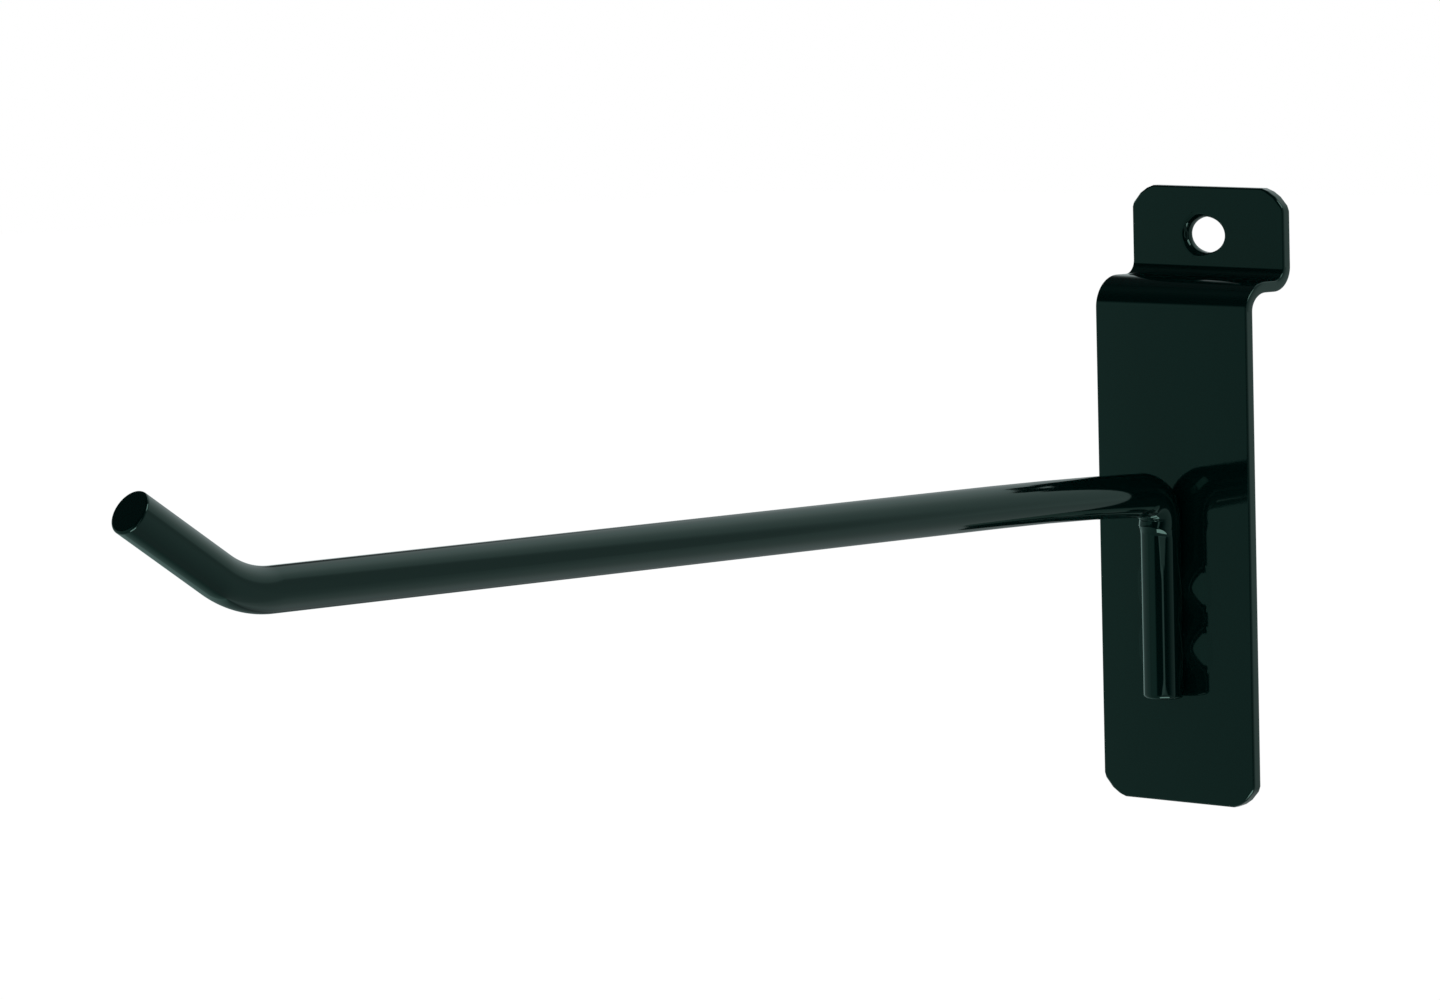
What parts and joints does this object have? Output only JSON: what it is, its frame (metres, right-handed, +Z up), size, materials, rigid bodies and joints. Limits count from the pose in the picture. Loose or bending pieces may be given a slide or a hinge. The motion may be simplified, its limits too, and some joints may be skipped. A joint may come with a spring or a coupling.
{
  "type": "slatwall hook",
  "caption": "Straight display hook for slatwall: bent steel wire arm with upturned tip, welded to a folded sheet back plate with a raised tongue and screw slot.",
  "frame": {"origin": "on the back face of the plate, where it rests on the wall, on the centre line and at the height of the arm's axis", "axes": "+Y into the wall, -Y out along the arm, +Z up, +X to the right as seen from the front"},
  "size_m": [0.03, 0.2135, 0.0932],
  "materials": {
    "coated_steel": "smooth high-gloss baked coat, very dark green-black"
  },
  "bodies": {
    "root": {"back_plate": "coated_steel", "hook_rod": "coated_steel"}
  },
  "joints": []
}
